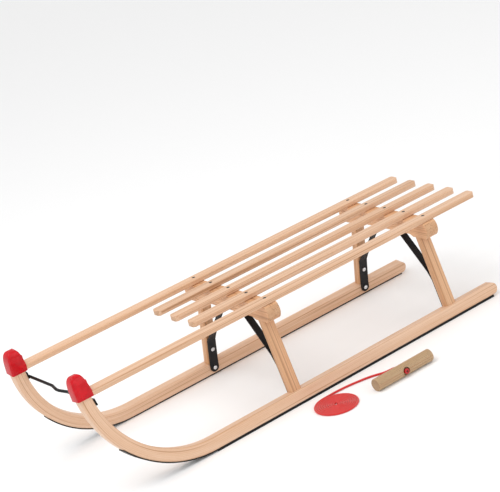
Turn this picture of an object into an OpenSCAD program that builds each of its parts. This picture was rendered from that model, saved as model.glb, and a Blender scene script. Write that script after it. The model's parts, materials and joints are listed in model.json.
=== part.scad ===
// Wooden sled with five seat slats, two bent runners and a pull cord.
// Millimetres. +X points forward to the horns, +Y to the sled's left, +Z up.
// The origin is the middle of the sled on the ground.

/* [Overall] */
// Length from the slats' rear ends to the front of the horn caps
length = 1010; // [850:1:1200]
// Distance between the runners' centre lines on the ground
track = 300; // [260:1:360]
// Height of the seat's top above the ground
seat_height = 226; // [200:1:245]

/* [Runners] */
// Width of a runner
runner_w = 23; // [20:0.5:28]
// Height of a runner's wood
runner_h = 26; // [24:0.5:32]
// How far each runner leans inwards, in degrees
runner_lean = 7; // [3:0.5:9]
// Radius of the front bend, along the wood's underside
bend_r = 240; // [225:1:260]
// Angle that the front bend turns through
bend_angle = 91.5; // [89:0.5:93]
// Radius of the runner's long edges
runner_edge_r = 3.5; // [1:0.5:5]
// Least thickness of the steel under a runner
steel_t = 2; // [1.5:0.5:3]
// Width of the steel
steel_w = 20; // [14:1:20]
// Angle of the bend that the steel covers
steel_angle = 51; // [30:1:60]

/* [Trestles] */
// How far the runners reach behind the rear legs
rear_overhang = 122; // [100:1:124]
// Distance between the rear legs and the front legs
trestle_spacing = 420; // [340:1:460]
// How far each leg leans inwards, in degrees
leg_lean = 14; // [10:0.5:16]
// Leg size across the sled
leg_w = 18; // [16:0.5:20]
// Leg size along the sled
leg_d = 26; // [22:0.5:28]
// Radius of a leg's long edges
leg_edge_r = 4.5; // [2:0.5:6]
// Radius of the round tenons at a leg's two ends
tenon_r = 7; // [5:0.5:7.5]
// Length of each tenon
tenon_l = 17; // [12:1:18]
// Distance between the two ends of a crossbeam
beam_l = 288; // [270:1:300]
// Crossbeam size along the sled
beam_d = 31; // [28:0.5:36]
// Crossbeam height at its ends
beam_h = 34; // [30:0.5:38]
// How much higher the crossbeam's underside is in its middle
beam_arch = 5; // [0:0.5:8]
// Radius of a crossbeam's round ends
beam_end_r = 22; // [20:0.5:26]

/* [Seat] */
// Distance between the centre lines of neighbouring slats
slat_pitch = 61.5; // [56:0.5:64]
// Width of a slat
slat_w = 25.5; // [22:0.5:30]
// Thickness of a slat
slat_t = 11.5; // [10:0.5:14]
// Radius of a slat's long edges
slat_edge_r = 2.5; // [1:0.5:4]
// How far the slats' rear ends lie behind the rear legs
slat_tail = 137; // [125:1:150]
// How far the three inner slats reach ahead of the front legs
slat_nose = 142; // [80:1:160]

/* [Horn caps] */
// Least wall of a horn cap
cap_wall = 1.6; // [1.2:0.2:2.4]
// Height of a horn cap
cap_h = 49; // [44:1:56]

/* [Front bar] */
// Radius of the round front bar
bar_r = 3; // [2.5:0.25:4]
// How far the middle of the bar stands forward
bar_crank = 5.5; // [3:0.5:14]
// Width of the forward part
bar_crank_w = 10; // [6:1:30]
// Width over which the bar leaves its straight line
bar_bow_w = 58; // [50:1:90]
// Angle along the bend at which the bar is fixed
bar_angle = 78; // [74:1:79]
// Height of the bar's flattened ends
bar_tab_h = 14; // [12:1:16]

/* [Braces] */
// Width of a steel brace on its leg
brace_w = 20; // [16:1:22]
// Width of a brace's slanting arm
brace_arm_w = 15; // [12:1:16]
// Thickness of a steel brace
brace_t = 3; // [2:0.5:4]
// Height at which a brace leaves its leg
brace_bend_z = 85; // [75:1:95]
// Distance from the middle of the sled to the brace's upper bend
brace_top_y = 35; // [32:1:45]
// Length of the tab under the crossbeam
brace_tab_l = 24; // [20:1:26]

/* [Screws] */
// Shank radius of every screw
screw_r = 2; // [1.5:0.25:2.25]
// Head radius of a countersunk screw
sunk_head_r = 3.8; // [3:0.1:4.5]
// Head radius of a round-head screw
round_head_r = 4.6; // [4:0.1:5]
// Room around a screw's shank
screw_gap = 0.05; // [0.02:0.01:0.2]

/* [Pull cord] */
// Diameter of the rope
rope_d = 4.6; // [4:0.1:5]
// Radius of the coil's outside
coil_r = 47; // [40:1:50]
// Diameter of the wooden handle
handle_d = 26; // [24:0.5:28]
// Length of the handle
handle_l = 145; // [120:1:160]
// Radius of the recess that takes the knot
recess_r = 8.5; // [7.5:0.5:9]
// Depth of the recess
recess_depth = 7; // [5:0.5:8]

/* [Hidden] */

$fn = 64;
big = 2000;

wood_light = [0.90, 0.72, 0.52];
wood_dark = [0.86, 0.62, 0.40];
black_steel = [0.13, 0.13, 0.13];
bright_steel = [0.75, 0.75, 0.76];
cap_red = [0.86, 0.08, 0.10];
rope_red = [0.85, 0.10, 0.08];

// Runner frame: x as the sled's, lateral outwards, height up along the leaning runner.
lean_drop = runner_w / 2 * sin(runner_lean);
bend_x = length / 2 - cap_front_gap() - bend_r;
bend_centre = steel_t + bend_r;
bend_in_r = bend_r - runner_h;
runner_top = steel_t + runner_h;
horn_top = bend_centre - bend_r * cos(bend_angle);
rear_x = -length / 2 + slat_tail;
runner_back = rear_x - rear_overhang;
front_x = rear_x + trestle_spacing;

// Seat and crossbeam heights.
slat_z = seat_height - slat_t;
beam_z = slat_z - beam_h;
mortise_gap = 0.1;
// The raised middle of a crossbeam's underside, where the braces' tabs lie, reaches out to the legs.
beam_top_seat = beam_z + beam_arch;
// Where the part of a runner that meets its slat and its cap begins.
horn_join = bend_angle - 20;

// The leg's inner face is flush with the runner's inner top edge.
foot_y = runner_y(-runner_w / 2, runner_top) + leg_w / 2 / cos(leg_lean);
foot_z = runner_z(-runner_w / 2, runner_top);
leg_top_y = foot_y - (beam_z - foot_z) * tan(leg_lean);
arch_y = leg_top_y - leg_w / 2 / cos(leg_lean) - 2 * beam_arch - 0.5;

// Horn caps.
cap_crown = 15.5;
cap_base = horn_top + cap_crown - cap_h;
cap_gap = 0.3;
cap_edge_r = 3;
cap_top_r = 8;
cap_side = 2.4;
cap_back_room = 7.5;
cap_back_draw = 8;

// Where an outer slat meets its horn: the horn's two faces at the slat's middle height.
horn_screw_z = slat_z + slat_t / 2;
horn_drop = bend_centre - (horn_screw_z - lean_drop) / cos(runner_lean);
horn_front_x = bend_x + sqrt(pow(bend_r, 2) - pow(horn_drop, 2));
horn_back_x = bend_x + sqrt(pow(bend_in_r, 2) - pow(horn_drop, 2)) + 0.3;

// Screw lengths.
slat_screw_l = slat_t + 22;
horn_screw_l = runner_h + 29;
steel_screw_l = 16;
bar_screw_l = 18;
brace_low_screw_l = 16;
brace_screw_l = 14;

// Braces.
brace_low_u = steel_t + 15.5;
brace_screw_s = 38;
bar_screw_angle = bar_angle + 0.9;

// Pull cord on the ground beside the left runner.
handle_x = -130;
handle_y = 262;
coil_x = 20;
coil_y = 232;
rope_r = rope_d / 2;
hole_r = rope_r + 0.4;
knot_r = 6;
knot_h = 10;
knot_y = handle_y + handle_d / 2 - recess_depth + 0.3;
// The rope's route from the knot to the coil.
rope_route = [
    [handle_x, knot_y, 13], [handle_x, 257, 13], [handle_x, 250, 13], [handle_x, 243, 12.8],
    [-129, 236, 11.5], [-126, 229, 8.5], [-121, 222, 5.2], [-115, 216, 3.1], [-107, 210, 2.4],
    [-98, 205, 2.3], [-88, 201, 2.3], [-78, 198, 2.3], [-66, 195, 2.3], [-54, 192.2, 2.3],
    [-42, 190, 2.3], [-30, 188.4, 2.3], [-18, 187.4, 2.3], [-8, 187, 2.3], [2, 187, 2.3]
];

function cap_front_gap() = cap_wall + 1.8;
function runner_y(lat, u) = track / 2 + lat * cos(runner_lean) - u * sin(runner_lean);
function runner_z(lat, u) = lean_drop + lat * sin(runner_lean) + u * cos(runner_lean);
function unit(v) = v / norm(v);
function left_normal(v) = [-v[1], v[0]];

// The offset of a bent strip's face at point i, mitred between its two neighbours.
function mitre(points, i, t) =
    let (last = len(points) - 1)
    let (n1 = left_normal(unit(points[min(i + 1, last)] - points[min(i, last - 1)])))
    let (n0 = left_normal(unit(points[max(i, 1)] - points[max(i - 1, 0)])))
    points[i] + t * (n0 + n1) / (1 + n0 * n1);

function strip_outline(points, t) = concat(
    points,
    [for (i = [len(points) - 1 : -1 : 0]) mitre(points, i, t)]
);

module on_side(side) {
    if (side > 0) children();
    else mirror([0, 1, 0]) children();
}

// Puts a shape drawn in the left runner's frame in its place.
module runner_frame() {
    translate([0, track / 2, lean_drop]) rotate([runner_lean, 0, 0]) children();
}

// Puts a shape drawn along +Z into the left leg's place, foot at the origin.
module leg_frame(x) {
    translate([x, foot_y, foot_z]) rotate([leg_lean, 0, 0]) children();
}

// A rectangle with round corners, about its centre.
module round_rect(w, h, r) {
    square([w - 2 * r, h], center = true);
    square([w, h - 2 * r], center = true);
    for (sx = [-1, 1])
        for (sy = [-1, 1])
            translate([sx * (w / 2 - r), sy * (h / 2 - r)]) circle(r);
}

// A rectangle whose corners are eased with two short flats each.
module eased_rect(w, h, r) {
    corner = [for (a = [0, 45, 90]) [w / 2 - r + r * cos(a), h / 2 - r + r * sin(a)]];
    back = [for (i = [2 : -1 : 0]) corner[i]];
    polygon(concat(
        corner,
        [for (p = back) [-p[0], p[1]]],
        [for (p = corner) [-p[0], -p[1]]],
        [for (p = back) [p[0], -p[1]]]
    ));
}

// A bar from x0 to x1 of the section drawn by its child, which is h high and stands at z0.
module long_bar(x0, x1, z0, h) {
    translate([x0, 0, z0 + h / 2])
        rotate([90, 0, 90])
            linear_extrude(x1 - x0) children();
}

// The bend that continues a bar upwards, from angle a0 to angle a1.
module bend(a0, a1, w, r_in, r_out, r) {
    translate([bend_x, 0, bend_centre])
        rotate([90, 0, 0])
            rotate([0, 0, a0 - 90])
                rotate_extrude(angle = a1 - a0, $fn = 180)
                    translate([(r_in + r_out) / 2, 0]) eased_rect(r_out - r_in, w, r);
}

// A runner's bend from angle a0 to its top, grown by a gap where a cap slides over it.
module runner_head(a0, grow = 0) {
    end_gap = grow / bend_r * 180 / PI;
    w = runner_w + 2 * grow;
    bend(a0, bend_angle + end_gap, w, bend_in_r - grow, bend_r + grow, runner_edge_r);
}

module runner_tail() {
    nose_r = runner_h / 2;
    intersection() {
        long_bar(runner_back, bend_x, steel_t, runner_h) eased_rect(runner_w, runner_h, runner_edge_r);
        rotate([90, 0, 0])
            linear_extrude(runner_w, center = true)
                union() {
                    translate([runner_back + nose_r, steel_t]) square([big, runner_h]);
                    translate([runner_back + nose_r, steel_t + nose_r]) circle(nose_r);
                }
    }
}

module runner(side) {
    color(wood_light)
        on_side(side)
            difference() {
                runner_frame() {
                    runner_tail();
                    runner_head(0);
                }
                for (x = [rear_x, front_x]) {
                    leg_frame(x)
                        translate([0, 0, -tenon_l - 0.5]) cylinder(r = tenon_r + mortise_gap, h = tenon_l + 10);
                    brace_low_screw(x) screw_hole(brace_low_screw_l);
                }
                for (x = steel_screw_x) steel_screw_place(x) screw_hole(steel_screw_l);
                bar_screw_place() screw_hole(bar_screw_l);
                horn_screw_place() sunk_hole(horn_screw_l);
            }
}

// The steel's screws keep clear of the legs' tenons.
steel_screw_x = [runner_back + 40, rear_x + 113, front_x - 107, front_x + 93, bend_x - 10];

module steel_screw_place(x) {
    translate([x, runner_y(0, 0), 0.1]) children();
}

// The steel's underside is cut level with the ground.
module runner_steel(side) {
    color(black_steel)
        on_side(side)
            difference() {
                runner_frame() {
                    long_bar(runner_back + runner_h / 2, bend_x, -2 * lean_drop, steel_t + 2 * lean_drop)
                        square([steel_w, steel_t + 2 * lean_drop], center = true);
                    bend(0, steel_angle, steel_w, bend_r, bend_r + steel_t, 0.4);
                }
                translate([-big / 2, 0, -big]) cube([big, big, big]);
                for (x = steel_screw_x) steel_screw_place(x) sunk_hole(steel_screw_l);
            }
}

// Screws are drawn with the head's outer face at the origin and the shank along +Z.
module sunk_screw(l) {
    cylinder(r1 = sunk_head_r, r2 = screw_r, h = sunk_head_r - screw_r);
    cylinder(r = screw_r, h = l);
}

module sunk_hole(l) {
    g = screw_gap;
    translate([0, 0, -1]) cylinder(r = sunk_head_r + g, h = 1);
    cylinder(r1 = sunk_head_r + g, r2 = screw_r + g, h = sunk_head_r - screw_r);
    cylinder(r = screw_r + g, h = l + 0.5);
}

module screw_hole(l) {
    translate([0, 0, -1]) cylinder(r = screw_r + screw_gap, h = l + 1.5);
}

// A round-head screw: the head's underside at the origin, the shank along +Z.
module round_screw(l) {
    cylinder(r = screw_r, h = l);
    rotate([180, 0, 0])
        rotate_extrude()
            intersection() {
                translate([0, -2.6]) circle(5.3);
                square([round_head_r, 4]);
            }
}

module runner_steel_screws() {
    color(bright_steel)
        for (side = [-1, 1])
            on_side(side)
                for (x = steel_screw_x) steel_screw_place(x) sunk_screw(steel_screw_l);
}

module leg(x, side) {
    shaft_l = (beam_z - foot_z) / cos(leg_lean);
    color(wood_dark)
        on_side(side)
            difference() {
                union() {
                    difference() {
                        leg_frame(x)
                            translate([0, 0, -20])
                                linear_extrude(seat_height) round_rect(leg_d, leg_w, leg_edge_r);
                        translate([-big / 2, -big / 2, beam_z]) cube([big, big, big]);
                        runner_frame()
                            translate([-big / 2, -big / 2, runner_top - big]) cube([big, big, big]);
                    }
                    leg_frame(x) {
                        translate([0, 0, -tenon_l]) cylinder(r = tenon_r, h = tenon_l + 5);
                        translate([0, 0, shaft_l - 5]) cylinder(r = tenon_r, h = tenon_l + 5);
                    }
                }
                brace_low_screw(x) screw_hole(brace_low_screw_l);
                brace_mid_screw(x) screw_hole(brace_screw_l);
            }
}

// A crossbeam's outline, seen from the front: round ends, and a raised middle underneath.
module beam_outline() {
    end_y = beam_l / 2 - beam_end_r;
    mid_z = slat_z - beam_h / 2;
    difference() {
        intersection() {
            translate([-beam_l / 2, beam_z]) square([beam_l, beam_h]);
            union() {
                translate([-end_y, beam_z]) square([2 * end_y, beam_h]);
                for (side = [-1, 1]) translate([side * end_y, mid_z]) circle(beam_end_r);
            }
        }
        polygon([
            [-arch_y - 2 * beam_arch, beam_z - 1], [-arch_y - 2 * beam_arch, beam_z],
            [-arch_y, beam_top_seat], [arch_y, beam_top_seat],
            [arch_y + 2 * beam_arch, beam_z], [arch_y + 2 * beam_arch, beam_z - 1]
        ]);
    }
}

module crossbeam(x) {
    color(wood_dark)
        difference() {
            translate([x, 0, 0])
                rotate([90, 0, 90])
                    linear_extrude(beam_d, center = true) beam_outline();
            for (side = [-1, 1])
                on_side(side) {
                    leg_frame(x)
                        translate([0, 0, (beam_z - foot_z) / cos(leg_lean) - 10])
                            cylinder(r = tenon_r + mortise_gap, h = tenon_l + 10.5);
                    brace_top_screw(x) screw_hole(brace_screw_l);
                }
            for (i = [-2 : 2]) slat_screw_place(x, i) screw_hole(slat_screw_l);
        }
}

module slat_screw_place(x, i) {
    translate([x, i * slat_pitch, seat_height - 0.2]) rotate([180, 0, 0]) children();
}

module slat_blank(y, front) {
    tail = rear_x - slat_tail;
    end_r = slat_w / 2 - 0.4;
    translate([0, y, 0])
        intersection() {
            long_bar(tail, front, slat_z, slat_t) round_rect(slat_w, slat_t, slat_edge_r);
            translate([(tail + front) / 2, 0, 0])
                linear_extrude(seat_height) round_rect(front - tail, slat_w, end_r);
            rotate([90, 0, 0])
                linear_extrude(slat_w, center = true)
                    translate([(tail + front) / 2, slat_z + slat_t / 2])
                        round_rect(front - tail, slat_t, 3);
        }
}

module inner_slat(i) {
    color(wood_light)
        difference() {
            slat_blank(i * slat_pitch, front_x + slat_nose);
            for (x = [rear_x, front_x]) slat_screw_place(x, i) sunk_hole(slat_screw_l);
        }
}

// An outer slat ends against the back of its horn.
module outer_slat(side) {
    color(wood_light)
        on_side(side)
            difference() {
                intersection() {
                    slat_blank(2 * slat_pitch, length / 2 + 20);
                    translate([horn_back_x - big, 0, 0]) cube([big, big, big]);
                }
                runner_frame() runner_head(horn_join);
                for (x = [rear_x, front_x]) slat_screw_place(x, 2) sunk_hole(slat_screw_l);
                horn_screw_place() screw_hole(horn_screw_l);
            }
}

module slat_screws() {
    color(black_steel)
        for (x = [rear_x, front_x])
            for (i = [-2 : 2])
                slat_screw_place(x, i) sunk_screw(slat_screw_l);
}

// The screw from the horn's front into the outer slat's end.
module horn_screw_place() {
    translate([horn_front_x - 0.8, 2 * slat_pitch, horn_screw_z]) rotate([0, -90, 0]) children();
}

module horn_screws() {
    color(bright_steel)
        for (side = [-1, 1])
            on_side(side) horn_screw_place() sunk_screw(horn_screw_l);
}

// A horn cap's outside: upright near the bottom, drawn in and round at the top.
module cap_outside() {
    x1 = length / 2;
    x0 = x1 - runner_h - 2 * cap_wall - cap_back_room;
    y0 = runner_w / 2 + cap_side;
    r = cap_edge_r;
    hull() {
        for (x = [x0 + r, x1 - 1 - r])
            for (y = [-y0 + r, y0 - r])
                translate([x, y, cap_base]) cylinder(r = r, h = 12, $fn = 32);
        for (x = [x0 + cap_back_draw + cap_top_r, x1 - cap_top_r])
            for (y = [-5.5, 5.5])
                translate([x, y, cap_base + cap_h - cap_top_r]) sphere(cap_top_r, $fn = 32);
    }
}

module horn_cap(side) {
    color(cap_red)
        on_side(side)
            difference() {
                runner_frame()
                    difference() {
                        cap_outside();
                        runner_head(horn_join, cap_gap);
                    }
                translate([length / 2 - 60, 2 * slat_pitch - slat_w / 2 - cap_gap, slat_z - cap_gap])
                    cube([40, slat_w + 2 * cap_gap, slat_t + 2 * cap_gap]);
            }
}

// Front bar: its flattened ends lie on the horns' back faces.
bar_path_r = bend_in_r - bar_r - 0.3;
bar_u = bend_centre - bar_path_r * cos(bar_angle);
bar_x = bend_x + bar_path_r * sin(bar_angle);
bar_y = runner_y(-runner_w / 2 + 3, bar_u);
bar_z = runner_z(-runner_w / 2 + 3, bar_u);
bar_tab_angle = bar_tab_h / bend_in_r * 180 / PI;

module bar_tab() {
    runner_frame()
        translate([bend_x, 0, bend_centre])
            rotate([90, 0, 0])
                rotate([0, 0, bar_angle - 90 - bar_tab_angle * 0.25])
                    rotate_extrude(angle = bar_tab_angle, $fn = 180)
                        translate([bend_in_r - brace_t, -runner_w / 2]) square([brace_t, runner_w - 1]);
}

module bar_screw_place() {
    runner_frame()
        translate([bend_x, 3, bend_centre])
            rotate([0, 90 - bar_screw_angle, 0])
                translate([bend_in_r - brace_t - 0.1, 0, 0])
                    rotate([0, 90, 0]) children();
}

// A round bar from a to b.
module rod(a, b) {
    d = b - a;
    translate(a)
        rotate([0, acos(d[2] / norm(d)), atan2(d[1], d[0])])
            cylinder(r = bar_r, h = norm(d));
}

module front_bar() {
    outer = bar_bow_w / 2;
    route = [
        [bar_x, -bar_y, bar_z], [bar_x, -outer, bar_z],
        [bar_x + bar_crank, -bar_crank_w / 2, bar_z], [bar_x + bar_crank, bar_crank_w / 2, bar_z],
        [bar_x, outer, bar_z], [bar_x, bar_y, bar_z]
    ];
    color(black_steel)
        difference() {
            union() {
                for (i = [1 : len(route) - 1]) rod(route[i - 1], route[i]);
                for (i = [1 : len(route) - 2]) translate(route[i]) sphere(bar_r + 0.08);
                for (side = [-1, 1]) on_side(side) bar_tab();
            }
            for (side = [-1, 1]) on_side(side) bar_screw_place() screw_hole(bar_screw_l);
        }
}

module front_bar_screws() {
    color(bright_steel)
        for (side = [-1, 1])
            on_side(side) bar_screw_place() round_screw(bar_screw_l);
}

// Brace: up the runner's and the leg's inner faces, then slanting in to the crossbeam.
brace_points = [
    [runner_y(-runner_w / 2, brace_low_u), runner_z(-runner_w / 2, brace_low_u)],
    [runner_y(-runner_w / 2, runner_top), foot_z],
    [runner_y(-runner_w / 2, runner_top) - (brace_bend_z - foot_z) * tan(leg_lean), brace_bend_z],
    [brace_top_y, beam_top_seat],
    [brace_top_y - brace_tab_l, beam_top_seat]
];

module brace_low_screw(x) {
    translate([x, 0, 0])
        runner_frame()
            translate([0, -runner_w / 2 - brace_t, brace_low_u]) rotate([-90, 0, 0]) children();
}

module brace_mid_screw(x) {
    leg_frame(x) translate([0, -leg_w / 2 - brace_t, brace_screw_s]) rotate([-90, 0, 0]) children();
}

module brace_top_screw(x) {
    translate([x, brace_top_y - brace_tab_l / 2, beam_top_seat - brace_t]) children();
}

// A brace's outline, seen from the sled's side: its arm narrows above the bend.
module brace_side() {
    polygon([
        [-brace_w / 2, -1], [brace_w / 2, -1],
        [brace_w / 2, brace_bend_z], [brace_arm_w / 2, brace_bend_z + 15],
        [brace_arm_w / 2, seat_height], [-brace_arm_w / 2, seat_height],
        [-brace_arm_w / 2, brace_bend_z + 15], [-brace_w / 2, brace_bend_z]
    ]);
}

module brace(x, side) {
    color(black_steel)
        on_side(side)
            difference() {
                union() {
                    translate([x, 0, 0])
                        intersection() {
                            rotate([90, 0, 90])
                                linear_extrude(brace_w + 1, center = true)
                                    polygon(strip_outline(brace_points, brace_t));
                            rotate([90, 0, 0]) linear_extrude(big, center = true) brace_side();
                        }
                    brace_low_screw(x) cylinder(r = brace_w / 2, h = brace_t);
                }
                brace_low_screw(x) screw_hole(brace_low_screw_l);
                brace_mid_screw(x) screw_hole(brace_screw_l);
                brace_top_screw(x) screw_hole(brace_screw_l);
            }
}

module brace_screws() {
    color(bright_steel)
        for (x = [rear_x, front_x])
            for (side = [-1, 1])
                on_side(side) {
                    brace_low_screw(x) round_screw(brace_low_screw_l);
                    brace_mid_screw(x) round_screw(brace_screw_l);
                    brace_top_screw(x) round_screw(brace_screw_l);
                }
}

// The coil: a flat disc with round edges that stands for the wound rope.
module rope_coil() {
    color(rope_red)
        translate([coil_x, coil_y, rope_r])
            rotate_extrude($fn = 90) {
                translate([0, -rope_r]) square([coil_r - rope_r, rope_d]);
                translate([coil_r - rope_r, 0]) circle(rope_r);
            }
}

// A tube of n sides along a route, closed at both ends.
module tube(route, r, n) {
    last = len(route) - 1;
    rings = [
        for (i = [0 : last])
            let (t = unit(route[min(i + 1, last)] - route[max(i - 1, 0)]))
            let (a = unit(cross(t, [0, 0, 1])))
            let (b = cross(t, a))
            for (k = [0 : n - 1])
                route[i] + r * (cos(360 * k / n) * a + sin(360 * k / n) * b)
    ];
    sides = [
        for (i = [0 : last - 1])
            for (k = [0 : n - 1])
                let (m = (k + 1) % n)
                [i * n + k, (i + 1) * n + k, (i + 1) * n + m, i * n + m]
    ];
    near_end = [for (k = [0 : n - 1]) k];
    far_end = [for (k = [n - 1 : -1 : 0]) last * n + k];
    polyhedron(points = rings, faces = concat(sides, [near_end, far_end]), convexity = 8);
}

module pull_rope() {
    color(rope_red) tube(rope_route, rope_r, 8);
}

// The stopper knot in the handle's recess.
module rope_knot() {
    color(rope_red)
        translate([handle_x, knot_y, handle_d / 2])
            rotate([-90, 0, 0])
                rotate_extrude() {
                    intersection() {
                        translate([0, knot_h / 2]) circle(knot_r);
                        square([knot_r, knot_h]);
                    }
                }
}

module pull_handle() {
    end_r = 2;
    color(wood_light)
        difference() {
            translate([handle_x - handle_l / 2, handle_y, handle_d / 2])
                rotate([0, 90, 0])
                    rotate_extrude() {
                        square([handle_d / 2 - end_r, handle_l]);
                        translate([0, end_r]) square([handle_d / 2, handle_l - 2 * end_r]);
                        for (z = [end_r, handle_l - end_r])
                            translate([handle_d / 2 - end_r, z]) circle(end_r);
                    }
            translate([handle_x, handle_y - handle_d, handle_d / 2])
                rotate([-90, 0, 0]) cylinder(r = hole_r, h = 2 * handle_d);
            translate([handle_x, handle_y + handle_d / 2 - recess_depth, handle_d / 2])
                rotate([-90, 0, 0]) cylinder(r = recess_r, h = 2 * recess_depth);
        }
}

runner(1);  // left_runner
runner(-1);  // right_runner
runner_steel(1);  // left_runner_steel
runner_steel(-1);  // right_runner_steel
runner_steel_screws();
leg(rear_x, 1);  // rear_left_leg
leg(rear_x, -1);  // rear_right_leg
leg(front_x, 1);  // front_left_leg
leg(front_x, -1);  // front_right_leg
crossbeam(rear_x);  // rear_crossbeam
crossbeam(front_x);  // front_crossbeam
outer_slat(1);  // left_outer_slat
inner_slat(1);  // left_inner_slat
inner_slat(0);  // centre_slat
inner_slat(-1);  // right_inner_slat
outer_slat(-1);  // right_outer_slat
slat_screws();
horn_screws();
horn_cap(1);  // left_horn_cap
horn_cap(-1);  // right_horn_cap
front_bar();
front_bar_screws();
brace(rear_x, 1);  // rear_left_brace
brace(rear_x, -1);  // rear_right_brace
brace(front_x, 1);  // front_left_brace
brace(front_x, -1);  // front_right_brace
brace_screws();
rope_coil();
pull_rope();
rope_knot();
pull_handle();
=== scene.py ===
# %% [markdown]
# # A wooden toboggan with its pull cord
#
# This lesson gives a finished look to a sled that was already designed as separate solid parts.
# The parts come in as a frame that is never moved. Around it this script puts a camera and light,
# rounds the wood and the steel, models the red caps, the screws, the rope and its knot,
# and gives each of them a material that is painted by nodes only.

# %% Open the frame
import json
import math
import random

import bpy
import numpy as np
from mathutils import Matrix, Vector

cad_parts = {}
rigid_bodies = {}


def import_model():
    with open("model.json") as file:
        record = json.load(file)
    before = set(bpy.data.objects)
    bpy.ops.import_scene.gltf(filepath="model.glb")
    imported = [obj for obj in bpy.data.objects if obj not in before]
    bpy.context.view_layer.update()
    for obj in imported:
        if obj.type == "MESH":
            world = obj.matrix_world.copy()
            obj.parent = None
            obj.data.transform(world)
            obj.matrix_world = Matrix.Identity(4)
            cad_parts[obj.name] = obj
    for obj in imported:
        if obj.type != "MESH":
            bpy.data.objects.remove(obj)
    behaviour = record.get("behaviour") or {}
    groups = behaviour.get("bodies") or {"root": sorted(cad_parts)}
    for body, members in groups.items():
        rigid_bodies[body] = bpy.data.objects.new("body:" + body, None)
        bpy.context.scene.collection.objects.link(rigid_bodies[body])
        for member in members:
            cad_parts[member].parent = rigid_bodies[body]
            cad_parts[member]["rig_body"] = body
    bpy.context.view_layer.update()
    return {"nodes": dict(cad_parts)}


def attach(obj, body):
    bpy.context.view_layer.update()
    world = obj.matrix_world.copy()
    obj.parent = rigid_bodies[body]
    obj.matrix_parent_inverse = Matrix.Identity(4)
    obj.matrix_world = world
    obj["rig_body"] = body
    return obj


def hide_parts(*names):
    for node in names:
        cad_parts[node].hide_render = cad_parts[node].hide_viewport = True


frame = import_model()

scene = bpy.context.scene
print("parts in the frame:", len(frame["nodes"]))

# %% [markdown]
# ## The camera
#
# The sled is seen from its left front, from a little above, with a long lens, and the camera is
# rolled so that the runners climb towards the upper right. A camera looks along its own -Z axis,
# so its matrix is built from three directions: to its side, upwards, and back from the subject.
# That is exact, and it needs no Track To constraint, which would undo the roll.

# %% Place the camera
looking = Vector((-0.4968, -0.7978, -0.3417)).normalized()
upwards = Vector((-0.3882, -0.1478, 0.9096))
sideways = looking.cross(upwards).normalized()
upwards = sideways.cross(looking)
camera = bpy.data.objects.new("camera", bpy.data.cameras.new("camera"))
scene.collection.objects.link(camera)
turned = Matrix((sideways, upwards, -looking)).transposed().to_4x4()
camera.matrix_world = Matrix.Translation((1.9008, 3.0884, 1.6075)) @ turned
camera.data.sensor_width = 36
camera.data.lens = 139.2
camera.data.clip_end = 50
scene.camera = camera
print("camera roll in degrees:", round(math.degrees(math.asin(sideways.z)), 1))

# %% [markdown]
# ## Working in edit mode from a script
#
# An operator acts on whatever is selected, and loading the frame leaves all of it selected.
# So every step first selects one object alone, and inside edit mode it picks faces or edges by
# their place. These small helpers keep that habit in one spot.

# %% Selection helpers
def only(piece):
    """Selects one object and nothing else."""
    bpy.ops.object.select_all(action="DESELECT")
    piece.select_set(True)
    bpy.context.view_layer.objects.active = piece


def edit(piece, kind="FACE"):
    """Goes into edit mode on one object with nothing selected."""
    only(piece)
    bpy.ops.object.mode_set(mode="EDIT")
    bpy.ops.mesh.select_mode(type=kind)
    bpy.ops.mesh.select_all(action="DESELECT")


def leave_edit():
    """Goes back to object mode."""
    bpy.ops.object.mode_set(mode="OBJECT")


def pick_faces(piece, wanted):
    """Selects the faces for which wanted(centre, normal) is true; works from edit mode."""
    bpy.ops.mesh.select_mode(type="FACE")
    bpy.ops.mesh.select_all(action="DESELECT")
    leave_edit()
    for face in piece.data.polygons:
        face.select = bool(wanted(face.center, face.normal))
    bpy.ops.object.mode_set(mode="EDIT")


def apply_modifier(piece, kind, **settings):
    """Adds one modifier, sets it and applies it."""
    modifier = piece.modifiers.new(kind.lower(), kind)
    for name, value in settings.items():
        setattr(modifier, name, value)
    only(piece)
    bpy.ops.object.modifier_apply(modifier=modifier.name)


def apply_place(piece):
    """Puts an object's place, turn and scale into its mesh."""
    only(piece)
    bpy.ops.object.transform_apply(location=True, rotation=True, scale=True)


def smooth(piece, degrees=35):
    """Smooth shading that keeps the edges sharper than this angle."""
    only(piece)
    bpy.ops.object.shade_smooth_by_angle(angle=math.radians(degrees))


def join(pieces, name):
    """Makes one object of several."""
    only(pieces[0])
    for piece in pieces:
        piece.select_set(True)
    bpy.ops.object.join()
    pieces[0].name = name
    pieces[0].data.name = name
    return pieces[0]


def duplicate(piece, name):
    """A copy with its own mesh."""
    twin = piece.copy()
    twin.data = piece.data.copy()
    twin.name = name
    scene.collection.objects.link(twin)
    return twin


MM = 0.001

# %% [markdown]
# ## The rope's line
#
# The pull cord is a limp braided rope, 4.6 mm thick. It leaves the wooden handle through a hole,
# falls to the ground, and is wound flat into a round coil that lies beside the sled. The line is
# a short list of points for the free stretch, then a spiral from a loop: one rope's thickness
# inwards for each turn, so that neighbouring turns touch.

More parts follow.
